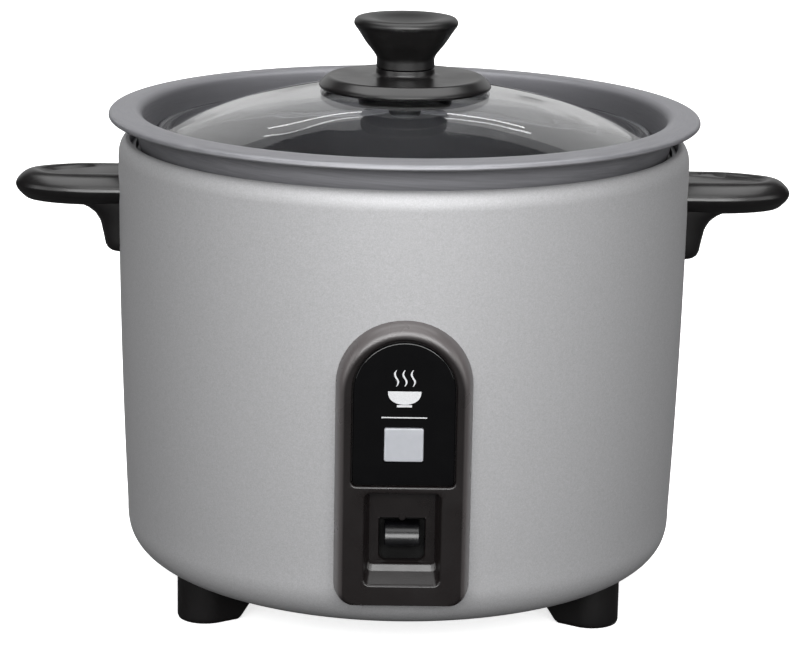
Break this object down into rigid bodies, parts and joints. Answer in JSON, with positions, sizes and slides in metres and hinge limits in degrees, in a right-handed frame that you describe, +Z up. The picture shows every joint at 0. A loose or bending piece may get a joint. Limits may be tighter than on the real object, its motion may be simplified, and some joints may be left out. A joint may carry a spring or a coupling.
{
  "type": "rice cooker",
  "caption": "Round electric cooking pot with a lift-out flanged pan, domed glass lid, side handles, an arched front switch panel and a push-down cook lever.",
  "frame": {"origin": "on the table, under the middle of the pan's rim", "axes": "+Z up, -Y out of the front panel, +X towards the right-hand handle as seen from the front"},
  "size_m": [0.2232, 0.169, 0.168],
  "materials": {
    "shell_paint": "satin metallic silver paint",
    "pan_aluminium": "grey anodised",
    "bare_aluminium": "bare, cast or spun",
    "black_phenolic": "moulded, half gloss",
    "panel_plastic": "moulded, fine satin",
    "gloss_black": "polished",
    "lens_white": "translucent",
    "zinc_steel": "zinc plated or stainless",
    "brass": "turned",
    "ferrite": "sintered, ground",
    "white_ceramic": "unglazed",
    "wire_cover": "braided glass fibre over copper",
    "lid_glass": "clear tempered",
    "lamp_glass": "clear bulb"
  },
  "bodies": {
    "housing": {"outer_shell": "shell_paint", "inner_case": "bare_aluminium", "heater_plate": "bare_aluminium", "foot_front_left": "black_phenolic", "foot_front_right": "black_phenolic", "foot_rear_left": "black_phenolic", "foot_rear_right": "black_phenolic", "handle_left": "black_phenolic", "handle_right": "black_phenolic", "inlet_housing": "black_phenolic", "front_panel": "panel_plastic", "nameplate": "gloss_black", "switch_body": "gloss_black", "lamp_window": "lens_white", "bottom_cover": "zinc_steel", "foot_screw_front_left": "zinc_steel", "foot_screw_front_right": "zinc_steel", "foot_screw_rear_left": "zinc_steel", "foot_screw_rear_right": "zinc_steel", "handle_screw_left_lower": "zinc_steel", "handle_screw_left_upper": "zinc_steel", "handle_screw_right_lower": "zinc_steel", "handle_screw_right_upper": "zinc_steel", "heater_element": "zinc_steel", "plate_post_1": "zinc_steel", "plate_post_2": "zinc_steel", "plate_post_3": "zinc_steel", "sensor_bracket": "zinc_steel", "sensor_spring": "zinc_steel", "lever_bracket": "zinc_steel", "lever_pin": "zinc_steel", "lever_spring": "zinc_steel", "inlet_pin_left": "brass", "inlet_pin_right": "brass", "lamp_holder": "white_ceramic", "terminal_block": "white_ceramic", "thermal_fuse": "white_ceramic", "wire_live": "wire_cover", "wire_neutral": "wire_cover", "wire_fuse_feed": "wire_cover", "wire_fuse_return": "wire_cover", "wire_switch_feed": "wire_cover", "wire_heater_return": "wire_cover", "wire_lamp_left": "wire_cover", "wire_lamp_right": "wire_cover", "neon_lamp": "lamp_glass"},
    "pan": {"inner_pan": "pan_aluminium"},
    "lid": {"lid_glass": "lid_glass", "knob_base": "black_phenolic", "lid_knob": "black_phenolic", "knob_washer": "black_phenolic", "knob_screw": "zinc_steel"},
    "lever": {"cook_lever": "zinc_steel", "lever_button": "gloss_black"},
    "magnet_rod": {"magnet": "ferrite", "magnet_carrier": "zinc_steel"},
    "plunger": {"switch_plunger": "lens_white"},
    "thermostat": {"sensor_cap": "bare_aluminium", "sensor_ferrite": "ferrite"}
  },
  "joints": [
    {"name": "pan_lift", "type": "slide", "parent": "housing", "child": "pan", "axis": [0, 0, 1], "range_m": [0, 0.1]},
    {"name": "lid_lift", "type": "slide", "parent": "pan", "child": "lid", "axis": [0, 0, 1], "range_m": [0, 0.06]},
    {"name": "cook_lever", "type": "hinge", "parent": "housing", "child": "lever", "pos_m": [0, -0.04, 0.031], "axis": [1, 0, 0], "range_deg": [0, 6.5], "stiffness_Nm_per_rad": 0.04, "springref_deg": -28.65},
    {"name": "magnet_lift", "type": "slide", "parent": "housing", "child": "magnet_rod", "axis": [0, 0, 1], "range_m": [0, 0.0052]},
    {"name": "switch_plunger", "type": "slide", "parent": "housing", "child": "plunger", "axis": [0, 0, 1], "range_m": [0, 0.0018]},
    {"name": "thermostat_press", "type": "slide", "parent": "housing", "child": "thermostat", "axis": [0, 0, 1], "range_m": [-0.0025, 0], "stiffness_N_per_m": 300, "springref_m": 0.006, "deforming": ["sensor_spring"]}
  ],
  "couplings": [
    {"joint": "magnet_lift", "follows": "cook_lever", "m_per_rad": 0.045},
    {"joint": "switch_plunger", "follows": "cook_lever", "m_per_rad": 0.0155}
  ]
}
